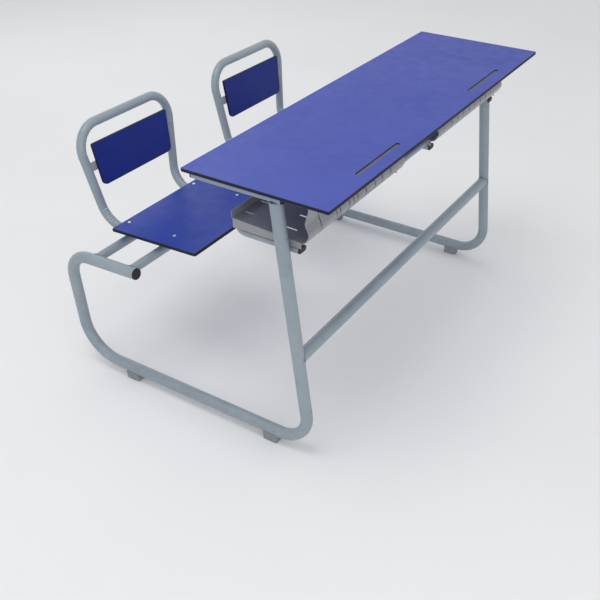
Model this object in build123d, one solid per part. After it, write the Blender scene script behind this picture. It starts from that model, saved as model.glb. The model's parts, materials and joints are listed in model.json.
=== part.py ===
from build123d import *
from math import atan, degrees
import os

# A two-seat school desk. Lengths in mm. X runs along the desktop, Z is up. While the pieces are made,
# y = 0 is the desktop's free long edge and the seats are at larger y; export() then moves the origin
# to the middle of the footprint.

# ---- driving dimensions ----
TOP_LENGTH = 1200.0
TOP_DEPTH = 385.0
TOP_THICK = 8.0
TOP_HEIGHT = 745.0
TOP_CORNER = 4.0
TOP_UNDER = TOP_HEIGHT - TOP_THICK
OVERALL_DEPTH = 874.2

GROOVE_XS = (-324.0, 282.0)   # pen grooves: middles, distance from the edge, size
GROOVE_Y = 38.0
GROOVE_LENGTH = 200.0
GROOVE_WIDTH = 11.0
GROOVE_DEPTH = 3.0

WALL = 1.6                    # steel tube wall
FRAME_X = 571.0               # plane of each side frame
FRAME_R = 16.0
RUNNER_Z = 36.0
UPRIGHT_Y0 = 64.2             # upright: y = UPRIGHT_Y0 + UPRIGHT_LEAN * z
UPRIGHT_LEAN = 0.12
REAR_LEG_Y0 = 842.5           # rear leg: y = REAR_LEG_Y0 + REAR_LEG_LEAN * z
REAR_LEG_LEAN = 0.03
ARM_END_Y = 607.0
ARM_REF_Y = 700.0             # arm: z = ARM_REF_Z - RAKE * (y - ARM_REF_Y)
ARM_REF_Z = 375.0
RAKE = 0.04                   # the arms and seats rise slightly towards the front
REAR_TOP_BEND = 75.0
REAR_LOW_BEND = 110.0
FRONT_LOW_BEND = 85.0

FOOT_YS = (190.0, 675.0)
FOOT_LENGTH = 45.0
FOOT_WIDTH = 30.0
FOOT_TOP = 28.0

SIDE_RAIL_WIDTH = 25.0        # flat tube under each end of the desktop, on top of the upright
SIDE_RAIL = 20.0
SIDE_RAIL_Y = (131.0, 371.0)
SIDE_RAIL_SCREWS = (200.0, 345.0)
STRETCHER_Z = 306.6

THIN_R = 12.5                 # seat rails and backrest tubes
PAINT_GAP = 0.05              # between tubes that lie on each other
SEAT_RAIL_YS = (757.0, 632.0)

SEAT_X = 287.0                # middle of each seat
SEAT_WIDTH = 377.0
SEAT_THICK = 8.0
SEAT_Y = (482.0, 776.0)
SEAT_CORNER = 5.0
SEAT_GAP = 0.7                # the seat stands on the start of the tubes' rising bends
RIVET_YS = (757.0, 594.0)
RIVET_HALF = 141.0            # rivets: half spacing, and the shift of their middle towards the desk's
RIVET_SHIFT = 4.0
RIVET_HEAD_R = 4.6
RIVET_HEAD = 2.0
RIVET_R = 2.5

BACK_Y450 = 836.5             # backrest tube plane: y = BACK_Y450 + BACK_LEAN * (z - 450)
BACK_LEAN = 0.11
BACK_TOP_Z = 679.0
BACK_LOW_HALF = 144.0         # half width of the tube loop at the seat and at the top
BACK_TOP_HALF = 183.6
BACK_LOW_BEND = 66.0
BACK_TOP_BEND = 68.0
BACK_BENDS = (BACK_LOW_BEND, BACK_TOP_BEND, BACK_TOP_BEND, BACK_LOW_BEND)
RUN_END_Y = 565.0
PANEL_LOW_HALF = 140.0
PANEL_TOP_HALF = 148.5
PANEL_Z = (512.0, 633.0)
PANEL_THICK = 7.0
PANEL_FRONT = 18.0            # front face of the panel ahead of the tubes' axes
PANEL_LOW_CORNER = 16.0
PANEL_TOP_CORNER = 5.0
LUG_THICK = 4.0
LUG_HEIGHT = 24.0
LUG_INNER_HALF = 118.0
LUG_OUTER_HALF = 168.0
LUG_SCREW_HALF = 128.0
LUG_SCREW_RISE = 6.5

TRAY_X = (100.0, 554.0)       # inner and outer end of each book tray
TRAY_FRONT_Y = 77.0
TRAY_REAR_Y = 287.0
TRAY_SHEET = 1.2
TRAY_LOW = (89.0, 619.0)      # (y, z) where the floor meets the front wall
TRAY_SLOPE = 0.052            # the floor rises towards the seats
TRAY_LIP = 18.0
TRAY_FLANGE_Z = 604.5
TRAY_HEM = 16.0
SLOT_WIDTH = 3.6
SLOT_Z = (626.0, 692.0)
NEAR_SLOTS = (-173.0, -108.0, -92.0, -51.0, -31.0, -12.0, 27.0, 71.0, 108.0, 151.0)
FAR_SLOTS = (-140.0, -100.0, -60.0, -20.0, 20.0, 60.0, 100.0, 140.0)
FLOOR_SLOT_ROWS = (152.0, 262.0)
FLOOR_SLOT_LENGTH = 34.0
FLOOR_SLOT_WIDTH = 5.0
FLOOR_SLOT_PITCH = 62.0

OVAL_WIDTH = 30.0             # flat-oval tube that carries the trays
OVAL_HEIGHT = 15.0
OVAL_Z = 595.0
OVAL_LEG_X = 540.0
OVAL_MIDDLE_X = 116.0
OVAL_FRONT_Y = 107.0
OVAL_REAR_Y = 292.0
OVAL_BEND = 45.0
TRAY_RAILS = ((116.0, 8.0), (219.0, 10.5))    # y and radius of the two tubes under the trays
TRAY_RAIL_HALF = 550.0

CAP = 4.0                     # plastic plugs: visible cap and the part inside the tube
PLUG_DEPTH = 14.0
SCREW_R = 2.5
SCREW_HEAD_R = 4.5
SCREW_HEAD = 2.2
SCREW_BITE = 5.0


def upright_y(z):
    return UPRIGHT_Y0 + UPRIGHT_LEAN * z


def arm_z(y):
    return ARM_REF_Z - RAKE * (y - ARM_REF_Y)


def back_y(z):
    return BACK_Y450 + BACK_LEAN * (z - 450.0)


def tube(points, bends, radius, inner=True):
    """A round tube along straight runs joined by arcs; solid when inner is False."""
    path = FilletPolyline(*points, radius=bends) if bends else Line(*points)
    start = Plane(origin=path @ 0, z_dir=path % 0)
    body = sweep(start * Circle(radius), path=path)
    if inner:
        body -= sweep(start * Circle(radius - WALL), path=path)
    return body


def straight(a, b, radius, inner=True):
    return tube((a, b), None, radius, inner)


# ---- desktop ----
def desktop():
    board = Box(TOP_LENGTH, TOP_DEPTH, TOP_THICK).moved(
        Location((0, TOP_DEPTH / 2, TOP_HEIGHT - TOP_THICK / 2)))
    board = fillet(board.edges().filter_by(Axis.Z), TOP_CORNER)
    board = chamfer(board.faces().sort_by(Axis.Z)[-1].edges(), 0.8)
    for x in GROOVE_XS:
        groove = extrude(SlotOverall(GROOVE_LENGTH, GROOVE_WIDTH), 2 * GROOVE_DEPTH)
        board -= groove.moved(Location((x, GROOVE_Y, TOP_HEIGHT - GROOVE_DEPTH)))
    return board - Compound(screw_holes())


# ---- steel frame ----
def frame_points(x):
    corner_z = arm_z(REAR_LEG_Y0)
    corner_y = REAR_LEG_Y0 + REAR_LEG_LEAN * corner_z
    return [(x, ARM_END_Y, arm_z(ARM_END_Y)),
            (x, corner_y, arm_z(corner_y)),
            (x, REAR_LEG_Y0 + REAR_LEG_LEAN * RUNNER_Z, RUNNER_Z),
            (x, upright_y(RUNNER_Z), RUNNER_Z),
            (x, upright_y(TOP_UNDER), TOP_UNDER)]


def side_frame(side, inner=True):
    """Arm, rear leg, floor runner and upright, bent from one tube."""
    bends = (REAR_TOP_BEND, REAR_LOW_BEND, FRONT_LOW_BEND)
    body = tube(frame_points(side * FRAME_X), bends, FRAME_R, inner)
    above = Box(80, 200, 200).moved(
        Location((side * FRAME_X, upright_y(TOP_UNDER), TOP_UNDER - SIDE_RAIL + 100)))
    return body - above


def side_rail(side):
    y0, y1 = SIDE_RAIL_Y
    place = Location((side * FRAME_X, (y0 + y1) / 2, TOP_UNDER - SIDE_RAIL / 2))
    outer = Box(SIDE_RAIL_WIDTH, y1 - y0, SIDE_RAIL)
    outer = fillet(outer.edges().filter_by(Axis.Y), 3.0)
    body = outer - Box(SIDE_RAIL_WIDTH - 2 * WALL, y1 - y0, SIDE_RAIL - 2 * WALL)
    return body.moved(place) - Compound(screw_holes())


def stretcher():
    y = upright_y(STRETCHER_Z)
    bar = straight((-FRAME_X, y, STRETCHER_Z), (FRAME_X, y, STRETCHER_Z), FRAME_R)
    return bar - side_frame(-1, False) - side_frame(1, False)


def seat_rail(y):
    z = arm_z(y)
    bar = straight((-FRAME_X, y, z), (FRAME_X, y, z), THIN_R)
    for x in (-FRAME_X, FRAME_X):
        bar -= straight((x, y - 40, arm_z(y - 40)), (x, y + 40, arm_z(y + 40)), FRAME_R, False)
    return bar


def foot(side, y):
    block = Box(FOOT_WIDTH, FOOT_LENGTH, FOOT_TOP)
    block = fillet(block.edges().filter_by(Axis.Z), 6.0)
    block = chamfer(block.faces().sort_by(Axis.Z)[0].edges(), 1.5)
    block = block.moved(Location((side * FRAME_X, y, FOOT_TOP / 2)))
    runner = straight((side * FRAME_X, y - 40, RUNNER_Z), (side * FRAME_X, y + 40, RUNNER_Z),
                      FRAME_R, False)
    return block - runner


def round_plug(radius, place):
    """A cap with a rounded face, its stem inside the tube; it points along the place's Z."""
    cap = Cylinder(radius, CAP, align=(Align.CENTER, Align.CENTER, Align.MIN))
    cap = fillet(cap.edges().sort_by(Axis.Z)[-1:], CAP - 1.0)
    stem = Cylinder(radius - WALL, PLUG_DEPTH, align=(Align.CENTER, Align.CENTER, Align.MAX))
    return place * (cap + stem)


def arm_plug(side):
    end = frame_points(side * FRAME_X)[0]
    return round_plug(FRAME_R, Plane(origin=end, x_dir=(1, 0, 0), z_dir=(0, -1, RAKE)).location)


def side_rail_plugs(side):
    """The square plugs in the two ends of a side rail."""
    plugs = []
    for y, out in zip(SIDE_RAIL_Y, (-1, 1)):
        face = Plane(origin=(side * FRAME_X, y, TOP_UNDER - SIDE_RAIL / 2), x_dir=(1, 0, 0),
                     z_dir=(0, out, 0))
        cap = extrude(RectangleRounded(SIDE_RAIL_WIDTH, SIDE_RAIL, 3.0), CAP)
        cap = fillet(cap.faces().sort_by(Axis.Z)[-1].edges(), 1.5)
        stem = extrude(Rectangle(SIDE_RAIL_WIDTH - 2 * WALL, SIDE_RAIL - 2 * WALL), -PLUG_DEPTH)
        plugs.append(face.location * (cap + stem))
    return Compound(plugs)


# ---- seats ----
def run_z(y):
    """Height of the axis of a backrest tube's forward run, which lies on the seat rails."""
    return arm_z(y) + 2 * THIN_R + PAINT_GAP


def back_points(x):
    low_y = back_y(run_z(BACK_Y450))
    half = ((BACK_LOW_HALF, RUN_END_Y, run_z(RUN_END_Y)),
            (BACK_LOW_HALF, low_y, run_z(low_y)),
            (BACK_TOP_HALF, back_y(BACK_TOP_Z), BACK_TOP_Z))
    left = [(x - h, y, z) for h, y, z in half]
    right = [(x + h, y, z) for h, y, z in reversed(half)]
    return left + right


def backrest_frame(x):
    body = tube(back_points(x), BACK_BENDS, THIN_R)
    return body - Compound([rivet_shank(h, y) for h, y in rivet_places(x)])


def seat_plane(x, y):
    """On the seat's underside at (x, y), with Z out of the seat."""
    return Plane(origin=(x, y, run_z(y) + THIN_R + SEAT_GAP), x_dir=(1, 0, 0), z_dir=(0, RAKE, 1))


def rivet_places(x):
    middle = x - RIVET_SHIFT if x > 0 else x + RIVET_SHIFT
    return [(middle + h, y) for h in (-RIVET_HALF, RIVET_HALF) for y in RIVET_YS]


def rivet_shank(x, y):
    shank = Cylinder(RIVET_R, SEAT_THICK + 5.0, align=(Align.CENTER, Align.CENTER, Align.MIN))
    return seat_plane(x, y).location * shank.moved(Location((0, 0, -5.0)))


def seat_panel(x):
    y0, y1 = SEAT_Y
    board = Box(SEAT_WIDTH, y1 - y0, SEAT_THICK, align=(Align.CENTER, Align.CENTER, Align.MIN))
    board = fillet(board.edges().filter_by(Axis.Z), SEAT_CORNER)
    board = fillet(board.faces().sort_by(Axis.Z)[-1].edges(), 2.5)
    board = seat_plane(x, (y0 + y1) / 2).location * board
    return board - Compound([rivet_shank(h, y) for h, y in rivet_places(x)])


def seat_rivets(x):
    rivets = []
    for h, y in rivet_places(x):
        head = Cylinder(RIVET_HEAD_R, RIVET_HEAD, align=(Align.CENTER, Align.CENTER, Align.MIN))
        head = fillet(head.edges().sort_by(Axis.Z)[-1:], RIVET_HEAD - 0.4)
        head = seat_plane(h, y).location * head.moved(Location((0, 0, SEAT_THICK)))
        rivets.append(head + rivet_shank(h, y))
    return Compound(rivets)


def back_plane(x, z):
    """On the back of the panel's lugs, with X sideways, Y up and Z towards the pupil."""
    axis = Plane(origin=(x, back_y(z), z), x_dir=(1, 0, 0), z_dir=(0, -1, BACK_LEAN))
    return axis.offset(PANEL_FRONT - PANEL_THICK - LUG_THICK)


def backrest_panel(x):
    low, high = PANEL_Z
    height = high - low
    outline = Polygon((-PANEL_LOW_HALF, -height / 2), (PANEL_LOW_HALF, -height / 2),
                      (PANEL_TOP_HALF, height / 2), (-PANEL_TOP_HALF, height / 2), align=None)
    board = extrude(outline, PANEL_THICK)
    upright_edges = board.edges().filter_by(Axis.Z).sort_by(Axis.Y)
    board = fillet(upright_edges[:2], PANEL_LOW_CORNER)
    board = fillet(board.edges().filter_by(Axis.Z).sort_by(Axis.Y)[-2:], PANEL_TOP_CORNER)
    board = fillet(board.faces().sort_by(Axis.Z)[-1].edges(), 1.5)
    place = back_plane(x, (low + high) / 2).offset(LUG_THICK).location
    return place * board - Compound(back_screw_shanks(x))


def lug_places():
    return [(side, sum(PANEL_Z) / 2) for side in (-1, 1)]


def back_screw_shanks(x):
    """Screw shanks through the lugs into the back of the panel."""
    shanks = []
    for side, z in lug_places():
        for up in (-LUG_SCREW_RISE, LUG_SCREW_RISE):
            shank = Cylinder(SCREW_R, LUG_THICK + SCREW_BITE,
                             align=(Align.CENTER, Align.CENTER, Align.MIN))
            shanks.append(back_plane(x, z).location * shank.moved(Location((side * LUG_SCREW_HALF, up, 0))))
    return shanks


def backrest_lugs(x):
    """A flat lug on each side, from the tube to the back of the panel."""
    lugs = []
    for side, z in lug_places():
        width = LUG_OUTER_HALF - LUG_INNER_HALF
        lug = extrude(RectangleRounded(width, LUG_HEIGHT, 6.0), LUG_THICK)
        middle = (LUG_OUTER_HALF + LUG_INNER_HALF) / 2
        lugs.append(back_plane(x, z).location * lug.moved(Location((side * middle, 0, 0))))
    tubes = tube(back_points(x), BACK_BENDS, THIN_R + PAINT_GAP, False)
    return Compound([lug - tubes - Compound(back_screw_shanks(x)) for lug in lugs])


def backrest_screws(x):
    screws = []
    for side, z in lug_places():
        for up in (-LUG_SCREW_RISE, LUG_SCREW_RISE):
            shank = Cylinder(SCREW_R, LUG_THICK + SCREW_BITE,
                             align=(Align.CENTER, Align.CENTER, Align.MIN))
            head = Cylinder(SCREW_HEAD_R, SCREW_HEAD, align=(Align.CENTER, Align.CENTER, Align.MAX))
            place = back_plane(x, z).location
            screws.append(place * (shank + head).moved(Location((side * LUG_SCREW_HALF, up, 0))))
    return Compound(screws)


# ---- book trays ----
def tray_floor(y):
    """Height of the top of the tray's floor."""
    return TRAY_LOW[1] + TRAY_SLOPE * (y - TRAY_LOW[0])


def tray_section():
    """Half-open sheet section: hem under the desktop, wavy front wall, floor, rear lip."""
    y, top = TRAY_FRONT_Y, TOP_UNDER - TRAY_SHEET / 2
    rear = tray_floor(TRAY_REAR_Y) - TRAY_SHEET / 2
    front = TRAY_LOW[1] - TRAY_SHEET / 2
    line = FilletPolyline((y + 3 + TRAY_HEM, top), (y + 3, top), (y + 2, 700), (y + 12, 668), (y, 642),
                          (TRAY_LOW[0], front), (TRAY_REAR_Y, rear), (TRAY_REAR_Y, rear + TRAY_LIP),
                          radius=(2.0, 30.0, 18.0, 14.0, 15.0, 3.0))
    return trace(line, line_width=TRAY_SHEET)


def tray_flange(notched):
    """The sheet folded down at each end of the floor, notched over the tray rails where they pass."""
    y0, y1 = TRAY_LOW[0] + 10.0, TRAY_REAR_Y - 2.0
    outline = Polygon((y0, TRAY_FLANGE_Z), (y1, TRAY_FLANGE_Z), (y1, tray_floor(y1) - TRAY_SHEET / 2),
                      (y0, tray_floor(y0) - TRAY_SHEET / 2), align=None)
    flange = extrude(Plane.YZ * outline, TRAY_SHEET / 2, both=True)
    if notched:
        for y, radius in TRAY_RAILS:
            z = tray_rail_z(radius)
            flange -= straight((-9, y, z), (9, y, z), radius + 1.0, False)
    return flange


def tray(side, slots):
    inner, outer = TRAY_X
    length, middle = outer - inner, (inner + outer) / 2
    sheet = extrude(Plane.YZ * tray_section(), length / 2, both=True)
    for end in (-1, 1):
        sheet += tray_flange(end != side).moved(Location((end * (length - TRAY_SHEET) / 2, 0, 0)))
    low, high = SLOT_Z
    for x in slots:
        cut = Box(SLOT_WIDTH, 60, high - low).moved(Location((x, TRAY_FRONT_Y, (low + high) / 2)))
        sheet -= cut
    for row in FLOOR_SLOT_ROWS:
        for step in (-3, -2, -1, 0, 1, 2, 3):
            place = Location((step * FLOOR_SLOT_PITCH, row, tray_floor(row)))
            sheet -= Box(FLOOR_SLOT_WIDTH, FLOOR_SLOT_LENGTH, 8).moved(place)
    return sheet.moved(Location((side * middle, 0, 0))) - Compound(screw_holes())


def oval(shrink=0.0):
    return SlotOverall(OVAL_WIDTH - 2 * shrink, OVAL_HEIGHT - 2 * shrink)


def tray_frame():
    """A flat-oval tube bent to a U: a leg beside each upright and a run behind the trays."""
    legs = [(-OVAL_LEG_X, OVAL_FRONT_Y, OVAL_Z), (-OVAL_LEG_X, OVAL_REAR_Y, OVAL_Z),
            (OVAL_LEG_X, OVAL_REAR_Y, OVAL_Z), (OVAL_LEG_X, OVAL_FRONT_Y, OVAL_Z)]
    path = FilletPolyline(*legs, radius=OVAL_BEND)
    start = Plane(origin=legs[0], x_dir=(1, 0, 0), z_dir=(0, 1, 0))
    return sweep(start * oval(), path=path) - sweep(start * oval(WALL), path=path)


def tray_cross_tube():
    """The short leg under the inner end of one tray."""
    rear = OVAL_REAR_Y - OVAL_WIDTH / 2
    start = Plane(origin=(OVAL_MIDDLE_X, OVAL_FRONT_Y, OVAL_Z), x_dir=(1, 0, 0), z_dir=(0, 1, 0))
    bar = extrude(start * (oval() - oval(WALL)), rear - OVAL_FRONT_Y + OVAL_HEIGHT / 2)
    behind = Box(60, OVAL_WIDTH - OVAL_HEIGHT, 40).moved(
        Location((OVAL_MIDDLE_X, OVAL_REAR_Y, OVAL_Z)))
    nose = straight((OVAL_MIDDLE_X - 40, rear + OVAL_HEIGHT / 2, OVAL_Z),
                    (OVAL_MIDDLE_X + 40, rear + OVAL_HEIGHT / 2, OVAL_Z), OVAL_HEIGHT / 2, False)
    return bar - behind - nose


def oval_plug(x):
    front = Plane(origin=(x, OVAL_FRONT_Y, OVAL_Z), x_dir=(1, 0, 0), z_dir=(0, -1, 0))
    cap = extrude(oval(), CAP)
    cap = fillet(cap.faces().sort_by(Axis.Z)[-1].edges(), 2.0)
    return front.location * (cap + extrude(oval(WALL), -PLUG_DEPTH))


def tray_rail_z(radius):
    return OVAL_Z + OVAL_HEIGHT / 2 + radius


def tray_rail(y, radius):
    z = tray_rail_z(radius)
    return straight((-TRAY_RAIL_HALF, y, z), (TRAY_RAIL_HALF, y, z), radius)


# ---- screws that hold the desktop and the trays' hems ----
def screw_places():
    """(x, y, z of the head's seat): through each side rail, and through each tray's hem."""
    rail = [(side * FRAME_X, y, TOP_UNDER - SIDE_RAIL) for side in (-1, 1) for y in SIDE_RAIL_SCREWS]
    hem_y = TRAY_FRONT_Y + 3 + TRAY_HEM / 2 + 2
    middle = sum(TRAY_X) / 2
    hem = [(side * middle + step, hem_y, TOP_UNDER - TRAY_SHEET)
           for side in (-1, 1) for step in (-190.0, 190.0)]
    return rail, hem


def screw_shank(x, y, seat_z):
    height = TOP_UNDER + SCREW_BITE - seat_z
    shank = Cylinder(SCREW_R, height, align=(Align.CENTER, Align.CENTER, Align.MIN))
    return shank.moved(Location((x, y, seat_z)))


def screw_holes():
    rail, hem = screw_places()
    return [screw_shank(*place) for place in rail + hem]


def screws(places):
    made = []
    for x, y, seat_z in places:
        head = Cylinder(SCREW_HEAD_R, SCREW_HEAD, align=(Align.CENTER, Align.CENTER, Align.MAX))
        made.append(screw_shank(x, y, seat_z) + head.moved(Location((x, y, seat_z))))
    return Compound(made)


def all_nodes():
    nodes = {"desktop": desktop(), "stretcher": stretcher()}
    for name, side in (("near", -1), ("far", 1)):
        x = side * SEAT_X
        nodes[f"side_frame_{name}"] = side_frame(side)
        nodes[f"side_rail_{name}"] = side_rail(side)
        nodes[f"side_rail_plugs_{name}"] = side_rail_plugs(side)
        nodes[f"arm_plug_{name}"] = arm_plug(side)
        for place, y in zip(("front", "rear"), FOOT_YS):
            nodes[f"foot_{place}_{name}"] = foot(side, y)
        nodes[f"backrest_frame_{name}"] = backrest_frame(x)
        nodes[f"backrest_panel_{name}"] = backrest_panel(x)
        nodes[f"backrest_lugs_{name}"] = backrest_lugs(x)
        nodes[f"backrest_screws_{name}"] = backrest_screws(x)
        nodes[f"seat_panel_{name}"] = seat_panel(x)
        nodes[f"seat_rivets_{name}"] = seat_rivets(x)
        nodes[f"tray_{name}"] = tray(side, NEAR_SLOTS if side < 0 else FAR_SLOTS)
        nodes[f"tray_frame_plug_{name}"] = oval_plug(side * OVAL_LEG_X)
    for place, y in zip(("rear", "front"), SEAT_RAIL_YS):
        nodes[f"seat_rail_{place}"] = seat_rail(y)
    for place, rail in zip(("front", "rear"), TRAY_RAILS):
        nodes[f"tray_rail_{place}"] = tray_rail(*rail)
    nodes["tray_frame"] = tray_frame()
    nodes["tray_cross_tube"] = tray_cross_tube()
    nodes["tray_cross_plug"] = oval_plug(OVAL_MIDDLE_X)
    rail, hem = screw_places()
    nodes["desktop_screws"] = screws(rail)
    nodes["tray_screws"] = screws(hem)
    return nodes


def export():
    os.makedirs("parts", exist_ok=True)
    for name, body in all_nodes().items():
        export_step(body.moved(Location((0, -OVERALL_DEPTH / 2, 0))), f"parts/{name}.step")


export()
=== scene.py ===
import json
from math import cos, sin, pi, radians, sqrt, tan, acos

import bpy
from mathutils import Matrix, Vector, noise


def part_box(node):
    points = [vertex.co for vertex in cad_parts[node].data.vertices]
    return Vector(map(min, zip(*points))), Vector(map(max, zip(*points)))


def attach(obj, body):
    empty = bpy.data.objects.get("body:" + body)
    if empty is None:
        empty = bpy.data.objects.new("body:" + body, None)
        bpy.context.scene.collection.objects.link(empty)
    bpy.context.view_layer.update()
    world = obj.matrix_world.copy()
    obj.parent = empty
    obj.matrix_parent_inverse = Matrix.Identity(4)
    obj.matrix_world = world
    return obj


# The looks of a two-seat school desk. Metres; the frame's axes: +X along the desktop, +Y to the seats.

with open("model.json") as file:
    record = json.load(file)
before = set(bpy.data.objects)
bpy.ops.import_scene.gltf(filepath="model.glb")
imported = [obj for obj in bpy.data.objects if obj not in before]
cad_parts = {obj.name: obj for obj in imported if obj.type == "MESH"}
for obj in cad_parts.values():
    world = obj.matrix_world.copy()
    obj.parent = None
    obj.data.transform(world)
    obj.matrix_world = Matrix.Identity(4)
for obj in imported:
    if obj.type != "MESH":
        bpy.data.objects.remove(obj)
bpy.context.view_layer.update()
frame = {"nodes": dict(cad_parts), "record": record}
NODES = frame["nodes"]

MM = 0.001
TUBE_R = 16 * MM
THIN_R = 12.5 * MM
RUN_HALF = 144 * MM           # backrest loop: half width at the seat and at the top, and the lower bend
LOOP_TOP_HALF = 183.6 * MM
LOW_BEND = 66 * MM
LOOP_LEAN = 0.11              # the loop's plane leans back this much per unit of height
RIDGE_COUNT = 6               # ridges in each lower bend
RIDGE_START = 0.48            # place of the first ridge and spread of the rest, as shares of the bend
RIDGE_SPREAD = 0.42
RIDGE_SWING = 78              # a ridge's reach to each side round the tube, in degrees
RIDGE_STEPS = 24
RIDGE_HALF_WIDTH = 2.1 * MM
RIDGE_SINK = 0.6 * MM         # how far a ridge's root lies inside the tube's skin


# ---------------------------------------------------------------- materials
class Graph:
    """A short way to write a material's nodes."""

    def __init__(self, name):
        self.mat = bpy.data.materials.new(name)
        self.mat.use_nodes = True
        self.nodes = self.mat.node_tree.nodes
        self.links = self.mat.node_tree.links
        self.shader = self.nodes["Principled BSDF"]
        self.coord = self.nodes.new("ShaderNodeTexCoord").outputs["Object"]

    def put(self, node_type, links=(), **settings):
        node = self.nodes.new(node_type)
        for key, value in settings.items():
            if key.startswith("in_"):
                node.inputs[int(key[3:])].default_value = value
            else:
                setattr(node, key, value)
        for index, source in links:
            self.links.new(source, node.inputs[index])
        return node

    def noise(self, scale, detail=3.0, rough=0.5, coord=None):
        node = self.put("ShaderNodeTexNoise", [(0, coord or self.coord)])
        node.inputs["Scale"].default_value = scale
        node.inputs["Detail"].default_value = detail
        node.inputs["Roughness"].default_value = rough
        return node.outputs["Fac"]

    def ramp(self, source, low, high, a=0.0, b=1.0):
        node = self.put("ShaderNodeMapRange", [(0, source)], in_1=low, in_2=high, in_3=a, in_4=b)
        node.clamp = True
        return node.outputs[0]

    def math(self, operation, a, b=None):
        node = self.put("ShaderNodeMath", operation=operation)
        for index, value in ((0, a), (1, b)):
            if value is None:
                continue
            if isinstance(value, (int, float)):
                node.inputs[index].default_value = value
            else:
                self.links.new(value, node.inputs[index])
        return node.outputs[0]

    def mix(self, factor, a, b):
        node = self.put("ShaderNodeMix", data_type="RGBA")
        self.links.new(factor, node.inputs[0])
        for index, value in ((6, a), (7, b)):
            if isinstance(value, tuple):
                node.inputs[index].default_value = (*value, 1.0)
            else:
                self.links.new(value, node.inputs[index])
        return node.outputs[2]

    def separate(self, source):
        return self.put("ShaderNodeSeparateXYZ", [(0, source)]).outputs

    def scaled(self, scale):
        node = self.put("ShaderNodeMapping", [(0, self.coord)])
        node.inputs["Scale"].default_value = scale
        return node.outputs[0]

    def finish(self, color, rough, bumps=(), metallic=0.0, specular=0.5, coat=0.0, coat_rough=0.1):
        shader = self.shader
        self.links.new(color, shader.inputs["Base Color"])
        self.links.new(rough, shader.inputs["Roughness"])
        shader.inputs["Metallic"].default_value = metallic
        shader.inputs["Specular IOR Level"].default_value = specular
        shader.inputs["Coat Weight"].default_value = coat
        shader.inputs["Coat Roughness"].default_value = coat_rough
        normal = None
        for height, strength, distance in bumps:
            bump = self.put("ShaderNodeBump", [("Height", height)])
            bump.inputs["Strength"].default_value = strength
            bump.inputs["Distance"].default_value = distance
            if normal is not None:
                self.links.new(normal, bump.inputs["Normal"])
            normal = bump.outputs[0]
        if normal is not None:
            self.links.new(normal, shader.inputs["Normal"])
        return self.mat


def laminate(name, base, pale, core, face_mask, groove=None):
    """High-pressure laminate: even colour with a fine fleck, a pebbled face, and a black core at the edges.
    face_mask(graph) is 1 on the two faces and 0 on the cut edges; groove is the colour of milled floors."""
    g = Graph(name)
    cloud = g.ramp(g.noise(3.2, 4.0, 0.55), 0.35, 0.68)
    color = g.mix(cloud, base, pale)
    fleck = g.ramp(g.noise(950.0, 2.0), 0.56, 0.70, 0.0, 0.10)
    color = g.mix(fleck, color, tuple(min(1.0, 1.5 * c + 0.02) for c in base))
    smudge = g.ramp(g.noise(9.0, 6.0, 0.62), 0.56, 0.74, 0.0, 0.08)
    color = g.mix(smudge, color, tuple(0.6 * c for c in base))
    face = face_mask(g)
    layers = g.ramp(g.noise(6.0, 4.0, 0.6, g.scaled((30.0, 30.0, 420.0))), 0.35, 0.7)
    edge = g.mix(layers, core, tuple(2.2 * c for c in core))
    color = g.mix(face, edge, color)
    if groove:
        up = g.separate(g.nodes.new("ShaderNodeTexCoord").outputs["Normal"])[2]
        milled = g.math("MULTIPLY", g.math("GREATER_THAN", up, 0.9), g.math("SUBTRACT", 1.0, face))
        scuffed = g.mix(layers, groove, tuple(0.78 * c for c in groove))
        color = g.mix(milled, color, scuffed)
    wear = g.ramp(g.noise(26.0, 5.0, 0.6), 0.35, 0.7, 0.40, 0.52)
    rough = g.math("ADD", wear, g.ramp(face, 0.0, 1.0, 0.12, 0.0))
    pebble = g.noise(1400.0, 2.0)
    wave = g.noise(14.0, 2.0)
    return g.finish(color, rough, ((pebble, 0.18, 0.0002), (wave, 0.10, 0.0010)), specular=0.22)


def plane_mask(direction, edge=0.93):
    """1 where the surface faces along direction or against it."""
    def mask(g):
        normal = g.nodes.new("ShaderNodeTexCoord").outputs["Normal"]
        dot = g.put("ShaderNodeVectorMath", [(0, normal)], operation="DOT_PRODUCT")
        dot.inputs[1].default_value = Vector(direction).normalized()
        return g.ramp(g.math("ABSOLUTE", dot.outputs["Value"]), edge, edge + 0.05)
    return mask


def desktop_mask(low, high, skin=0.0004):
    """1 on the desktop's own faces and 0 on its edge and inside the pen grooves."""
    def mask(g):
        z = g.separate(g.coord)[2]
        top = g.math("GREATER_THAN", z, high - skin)
        bottom = g.math("LESS_THAN", z, low + skin)
        return g.math("MAXIMUM", top, bottom)
    return mask


def powder_coat(name, base, dark, pale):
    """Satin powder coat on steel: fine orange peel, faint grime, rougher patches at random."""
    g = Graph(name)
    tone = g.ramp(g.noise(7.0, 5.0, 0.6), 0.32, 0.72)
    color = g.mix(tone, base, pale)
    grime = g.ramp(g.noise(34.0, 7.0, 0.68), 0.57, 0.76, 0.0, 0.40)
    color = g.mix(grime, color, dark)
    speck = g.ramp(g.noise(620.0, 1.5), 0.69, 0.76, 0.0, 0.45)
    color = g.mix(speck, color, dark)
    # darker in patches within 16 cm of the floor
    low = g.ramp(g.separate(g.coord)[2], 0.0, 0.16, 0.28, 0.0)
    color = g.mix(g.math("MULTIPLY", low, g.ramp(g.noise(55.0, 5.0), 0.35, 0.65)), color, dark)
    rough = g.ramp(g.noise(21.0, 5.0, 0.6), 0.3, 0.7, 0.30, 0.44)
    peel = g.noise(520.0, 2.0)
    long_wave = g.noise(75.0, 2.0)
    return g.finish(color, rough, ((peel, 0.14, 0.0004), (long_wave, 0.10, 0.0010)), specular=0.5,
                    coat=0.18, coat_rough=0.22)


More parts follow.
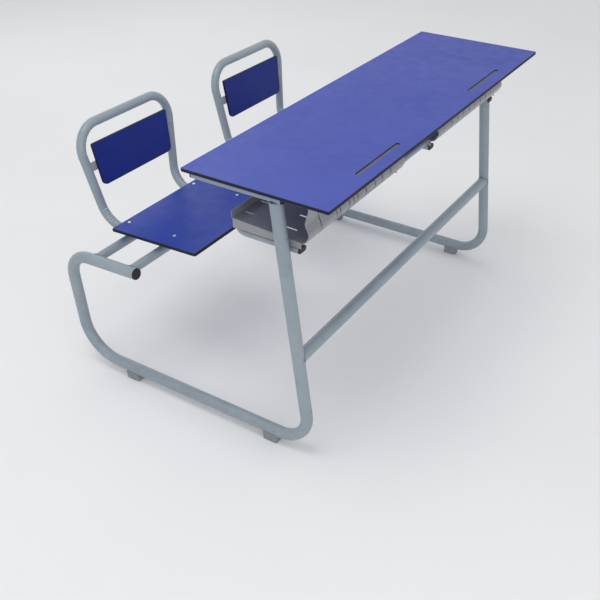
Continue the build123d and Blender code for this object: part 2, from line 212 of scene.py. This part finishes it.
def moulded_plastic(name, base, pale, rough_range):
    g = Graph(name)
    color = g.mix(g.ramp(g.noise(60.0, 5.0, 0.6), 0.35, 0.7), base, pale)
    dust = g.ramp(g.noise(240.0, 5.0, 0.7), 0.60, 0.78, 0.0, 0.25)
    color = g.mix(dust, color, tuple(min(1.0, 2.0 * c + 0.05) for c in pale))
    rough = g.ramp(g.noise(90.0, 3.0), 0.3, 0.7, *rough_range)
    grain = g.put("ShaderNodeTexVoronoi", [(0, g.coord)])
    grain.inputs["Scale"].default_value = 1500.0
    return g.finish(color, rough, ((grain.outputs[0], 0.22, 0.0003),), specular=0.4)


def plated_steel(name, base, pale):
    g = Graph(name)
    color = g.mix(g.ramp(g.noise(180.0, 5.0, 0.6), 0.35, 0.7), base, pale)
    rough = g.ramp(g.noise(420.0, 3.0), 0.3, 0.7, 0.26, 0.42)
    return g.finish(color, rough, ((g.noise(900.0, 3.0), 0.16, 0.0003),), metallic=0.85)


def weld_metal(name, base, dark):
    """Painted weld bead, with soot and drips of thicker paint."""
    g = Graph(name)
    color = g.mix(g.ramp(g.noise(240.0, 6.0, 0.65), 0.40, 0.72), base, dark)
    rough = g.ramp(g.noise(300.0, 3.0), 0.3, 0.7, 0.34, 0.55)
    return g.finish(color, rough, ((g.noise(700.0, 4.0), 0.35, 0.0006),), specular=0.5)


DESK_LOW, DESK_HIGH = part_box("desktop")
CORE = (0.008, 0.009, 0.012)
MATERIALS = {
    # desktop: base paler than the seat's, a painted sheen for the overhead light's glare on the flat top
    "desk_laminate": laminate("desk_laminate_blue_painted_sheen", (0.050, 0.074, 0.365), (0.060, 0.087, 0.400), CORE,
                              desktop_mask(DESK_LOW.z, DESK_HIGH.z), (0.150, 0.165, 0.205)),
    "seat_laminate": laminate("seat_laminate_blue", (0.014, 0.041, 0.305), (0.020, 0.050, 0.340), CORE,
                              plane_mask((0, 0.04, 1))),
    # backrest: the seat's blue laminate with a darker base, painted shade for the board that faces sideways
    # to the light
    "back_laminate": laminate("back_laminate_blue_painted_shade", (0.006, 0.019, 0.195), (0.009, 0.024, 0.225), CORE,
                              plane_mask((0, -1, 0.11))),
    "frame_paint": powder_coat("frame_powder_coat", (0.250, 0.305, 0.350), (0.120, 0.143, 0.165),
                               (0.300, 0.352, 0.395)),
    "tray_paint": powder_coat("tray_powder_coat", (0.255, 0.265, 0.280), (0.120, 0.118, 0.120),
                              (0.300, 0.305, 0.315)),
    "black_plastic": moulded_plastic("plug_plastic_black", (0.006, 0.006, 0.008), (0.014, 0.014, 0.017),
                                     (0.38, 0.55)),
    "grey_plastic": moulded_plastic("foot_plastic_grey", (0.20, 0.225, 0.245), (0.26, 0.285, 0.305),
                                    (0.45, 0.62)),
    "zinc": plated_steel("zinc_plate", (0.62, 0.63, 0.64), (0.78, 0.79, 0.80)),
    # bend ridges: a lighter copy of the frame's paint, a painted highlight for the light caught along the
    # ridges
    "bend_ridge": powder_coat("bend_ridge_painted_highlight", (0.36, 0.42, 0.47), (0.16, 0.185, 0.21),
                              (0.44, 0.50, 0.55)),
    "weld": weld_metal("weld_bead_paint", (0.225, 0.262, 0.295), (0.10, 0.11, 0.12)),
}
for entry in frame["record"]["subparts"]:
    mesh = NODES[entry["node"]].data
    mesh.materials.clear()
    mesh.materials.append(MATERIALS[entry["material_slot"]])


# ---------------------------------------------------------------- small pieces that the CAD leaves out
def new_piece(name, rings, material, closed=True):
    """A mesh skinned over rings of points; closed joins the last ring to the first."""
    count = len(rings[0])
    vertices = [p for ring in rings for p in ring]
    faces = []
    for i in range(len(rings) if closed else len(rings) - 1):
        j = (i + 1) % len(rings)
        for k in range(count):
            n = (k + 1) % count
            faces.append((i * count + k, j * count + k, j * count + n, i * count + n))
    if not closed:
        faces.append(tuple(reversed(range(count))))
        faces.append(tuple((len(rings) - 1) * count + k for k in range(count)))
    mesh = bpy.data.meshes.new(name)
    mesh.from_pydata([tuple(v) for v in vertices], [], faces)
    mesh.update()
    for polygon in mesh.polygons:
        polygon.use_smooth = True
    mesh.materials.append(MATERIALS[material])
    piece = bpy.data.objects.new(name, mesh)
    bpy.context.scene.collection.objects.link(piece)
    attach(piece, "root")
    return piece


def bead_rings(points, closed, radius, seed, sides=8, step=0.0026):
    """Rings along a curve, swollen in a row of overlapping ripples like a hand-made weld."""
    rings = []
    count = len(points)
    travelled = 0.0
    for i, p in enumerate(points):
        before = points[i - 1] if (closed or i) else points[i]
        after = points[(i + 1) % count] if (closed or i < count - 1) else points[i]
        tangent = (after - before).normalized()
        if i:
            travelled += (p - points[i - 1]).length
        side = tangent.cross(Vector((0.31, 0.52, 0.79))).normalized()
        up = tangent.cross(side)
        ripple = 0.16 * abs(sin(pi * travelled / step)) + 0.22 * noise.noise(p * 160 + Vector((seed, 0, 0)))
        taper = 1.0 if closed else sin(pi * min(1.0, max(0.06, (i + 0.5) / count))) ** 0.4
        r = radius * taper * (0.92 + ripple)
        rings.append([p + r * (cos(2 * pi * k / sides) * side + sin(2 * pi * k / sides) * up)
                      for k in range(sides)])
    return rings


def coped_weld(name, centre, out, along, small, big, seed):
    """The bead where a tube of radius small butts on one of radius big, whose axis lies along `along`."""
    out = Vector(out).normalized()
    along = (Vector(along) - out * out.dot(Vector(along))).normalized()
    across = out.cross(along)
    points = []
    for k in range(72):
        t = 2 * pi * k / 72
        width = small * cos(t)
        height = sqrt(max(0.0, big * big - width * width))
        points.append(Vector(centre) + across * width + along * small * sin(t) + out * height)
    return new_piece(name, bead_rings(points, True, 0.0021, seed), "weld")


def flat_weld(name, centre, radius_x, radius_y, seed):
    """The bead round a tube's end where it meets a flat face above it."""
    points = [Vector(centre) + Vector((radius_x * cos(2 * pi * k / 64), radius_y * sin(2 * pi * k / 64), 0))
              for k in range(64)]
    return new_piece(name, bead_rings(points, True, 0.0020, seed), "weld")


def tack_weld(name, a, b, seed, radius=0.0024, steps=12):
    a, b = Vector(a), Vector(b)
    points = [a.lerp(b, i / steps) for i in range(steps + 1)]
    return new_piece(name, bead_rings(points, False, radius, seed), "weld", closed=False)


def middle(name):
    low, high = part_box(name)
    return (low + high) / 2


SIDES = (("near", -1), ("far", 1))
FRAME_X = middle("side_frame_far").x
UPRIGHT_LEAN = Vector((0, 0.12, 1))
ARM_RAKE = Vector((0, 1, -0.04))

for label, side in SIDES:
    bar = middle("stretcher")
    coped_weld(f"weld_stretcher_{label}", (side * FRAME_X, bar.y, bar.z), (-side, 0, 0), UPRIGHT_LEAN,
               TUBE_R, TUBE_R, 3 * side)
    for row in ("front", "rear"):
        rail = middle(f"seat_rail_{row}")
        coped_weld(f"weld_seat_rail_{row}_{label}", (side * FRAME_X, rail.y, rail.z), (-side, 0, 0),
                   ARM_RAKE, THIN_R, TUBE_R, 5 * side + len(row))
    rail_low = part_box(f"side_rail_{label}")[0]
    upright_top = bpy.data.objects[f"side_frame_{label}"]
    top_points = [v.co for v in upright_top.data.vertices if v.co.z > rail_low.z - 0.0005]
    top_y = (min(p.y for p in top_points) + max(p.y for p in top_points)) / 2
    flat_weld(f"weld_side_rail_{label}", (side * FRAME_X, top_y, rail_low.z - 0.0008), TUBE_R - 0.001,
              TUBE_R, 7 * side)


def run_welds(label, side):
    """Short beads where the backrest tubes lie on the seat rails."""
    low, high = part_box(f"backrest_frame_{label}")
    seat_middle = (low.x + high.x) / 2
    for row in ("front", "rear"):
        rail = middle(f"seat_rail_{row}")
        for hand in (-1, 1):
            x = seat_middle + hand * RUN_HALF
            z = rail.z + THIN_R + 0.001
            for edge in (-1, 1):
                start = (x + edge * 0.0052, rail.y - 0.0075, z + 0.0002)
                end = (x + edge * 0.0052, rail.y + 0.0075, z - 0.0002)
                tack_weld(f"weld_run_{row}_{label}_{'lr'[hand > 0]}{'ab'[edge > 0]}", start, end,
                          11 * side + hand + edge)


def bend_arc(a, b, c, radius):
    """Centre, start direction, end direction and angle of the arc that rounds corner b."""
    u, w = (a - b).normalized(), (c - b).normalized()
    half = acos(max(-1.0, min(1.0, u.dot(w)))) / 2
    centre = b + (u + w).normalized() * radius / sin(half)
    start = b + u * radius / tan(half) - centre
    end = b + w * radius / tan(half) - centre
    return centre, start.normalized(), end.normalized(), pi - 2 * half


def bend_wrinkles(label, side):
    """The small ridges pressed into the inside of each tight lower bend."""
    low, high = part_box(f"backrest_frame_{label}")
    seat_middle = (low.x + high.x) / 2
    back_y = high.y - THIN_R
    for hand in (-1, 1):
        a = Vector((seat_middle + hand * RUN_HALF, low.y, RUN_FRONT_Z))
        b = Vector((seat_middle + hand * RUN_HALF, RUN_CORNER_Y, RUN_CORNER_Z))
        c = Vector((seat_middle + hand * LOOP_TOP_HALF, back_y, high.z - THIN_R))
        centre, start, end, angle = bend_arc(a, b, c, LOW_BEND)
        normal = start.cross(end).normalized()
        for i in range(RIDGE_COUNT):
            t = angle * (RIDGE_START + RIDGE_SPREAD * i / (RIDGE_COUNT - 1))
            spoke = (start * cos(t) + normal.cross(start) * sin(t)).normalized()
            ring_centre = centre + spoke * LOW_BEND
            rings = []
            for k in range(RIDGE_STEPS + 1):
                swing = radians(-RIDGE_SWING + 2 * RIDGE_SWING * k / RIDGE_STEPS)
                inside = abs(swing) < radians(RIDGE_SWING - 0.1)
                height = cos(swing * 90 / RIDGE_SWING) ** 1.2 if inside else 0.0
                outward = -spoke * cos(swing) + normal * sin(swing)
                along = spoke.cross(normal).normalized()
                base = ring_centre + outward * (THIN_R - RIDGE_SINK)
                lift = 0.0004 + (0.0025 + 0.0005 * sin(3.1 * i + hand)) * height
                rings.append([base + along * RIDGE_HALF_WIDTH * cos(2 * pi * j / 8)
                              + outward * lift * sin(2 * pi * j / 8) for j in range(8)])
            new_piece(f"bend_wrinkle_{label}_{'lr'[hand > 0]}{i}", rings, "bend_ridge",
                      closed=False)


RAIL_REAR, RAIL_FRONT = middle("seat_rail_rear"), middle("seat_rail_front")
RUN_SLOPE = (RAIL_FRONT.z - RAIL_REAR.z) / (RAIL_FRONT.y - RAIL_REAR.y)
LOOP_TOP_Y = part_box("backrest_frame_near")[1].y - THIN_R
LOOP_TOP_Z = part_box("backrest_frame_near")[1].z - THIN_R


def run_height(y):
    return RAIL_REAR.z + 2 * THIN_R + RUN_SLOPE * (y - RAIL_REAR.y)


def run_corner_y():
    """Where the runs on the rails would meet the leaning plane of the backrest."""
    y = RAIL_REAR.y
    for _ in range(30):
        y = LOOP_TOP_Y + LOOP_LEAN * (run_height(y) - LOOP_TOP_Z)
    return y


RUN_CORNER_Y = run_corner_y()
RUN_CORNER_Z = run_height(RUN_CORNER_Y)
RUN_FRONT_Z = run_height(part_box("backrest_frame_near")[0].y)

for label, side in SIDES:
    run_welds(label, side)
    bend_wrinkles(label, side)


# ---------------------------------------------------------------- floor, light, camera
def studio_floor():
    g = Graph("studio_floor")
    color = g.mix(g.ramp(g.noise(1.3, 4.0), 0.3, 0.7), (0.86, 0.86, 0.865), (0.885, 0.885, 0.89))
    rough = g.ramp(g.noise(18.0, 3.0), 0.3, 0.7, 0.62, 0.75)
    material = g.finish(color, rough, ((g.noise(260.0, 2.0), 0.05, 0.0003),), specular=0.2)
    mesh = bpy.data.meshes.new("studio_floor")
    reach = 14.0
    mesh.from_pydata([(-reach, -reach, 0), (reach, -reach, 0), (reach, reach, 0), (-reach, reach, 0)], [],
                     [(0, 1, 2, 3)])
    mesh.materials.append(material)
    floor = bpy.data.objects.new("studio_floor", mesh)
    bpy.context.scene.collection.objects.link(floor)


def area_light(name, place, aim, size, watts, color=(1, 1, 1)):
    data = bpy.data.lights.new(name, "AREA")
    data.shape = "RECTANGLE"
    data.size, data.size_y = size
    data.energy = watts
    data.color = color
    lamp = bpy.data.objects.new(name, data)
    lamp.location = place
    lamp.rotation_euler = (Vector(aim) - Vector(place)).to_track_quat("-Z", "Y").to_euler()
    bpy.context.scene.collection.objects.link(lamp)


def studio_light():
    world = bpy.data.worlds.new("studio_world")
    world.use_nodes = True
    world.node_tree.nodes["Background"].inputs[0].default_value = (0.97, 0.985, 1.0, 1)
    world.node_tree.nodes["Background"].inputs[1].default_value = 0.72
    bpy.context.scene.world = world
    area_light("key", (-1.0, 0.1, 3.2), (0.0, 0.0, 0.3), (1.5, 1.5), 23)
    area_light("front_fill", (-2.6, -2.4, 1.6), (0.0, 0.0, 0.45), (2.4, 1.6), 17)
    area_light("back_fill", (1.8, 3.0, 2.0), (0.0, 0.1, 0.4), (2.4, 1.6), 10)


CAMERA_PLACE = Vector((-1.829, -1.1838, 1.5116))
CAMERA_AZIMUTH, CAMERA_ELEVATION, CAMERA_ROLL = radians(-58.75), radians(37.27), radians(0.39)
CAMERA_LENS = 48.18
CAMERA_SHIFT = (-0.0474, 0.0704)


def photo_camera():
    a, e, r = CAMERA_AZIMUTH, CAMERA_ELEVATION, CAMERA_ROLL
    back = Vector((sin(a) * cos(e), -cos(a) * cos(e), sin(e)))
    right = Vector((cos(a), sin(a), 0))
    up = back.cross(right)
    right, up = cos(r) * right + sin(r) * up, cos(r) * up - sin(r) * right
    data = bpy.data.cameras.new("photo_camera")
    data.sensor_width = 36
    data.lens = CAMERA_LENS
    data.shift_x, data.shift_y = CAMERA_SHIFT
    data.clip_start, data.clip_end = 0.05, 60
    camera = bpy.data.objects.new("photo_camera", data)
    turn = Matrix((right, up, back)).transposed().to_4x4()
    camera.matrix_world = Matrix.Translation(CAMERA_PLACE) @ turn
    bpy.context.scene.collection.objects.link(camera)
    bpy.context.scene.camera = camera


studio_floor()
studio_light()
photo_camera()
bpy.context.scene.view_settings.view_transform = "Standard"
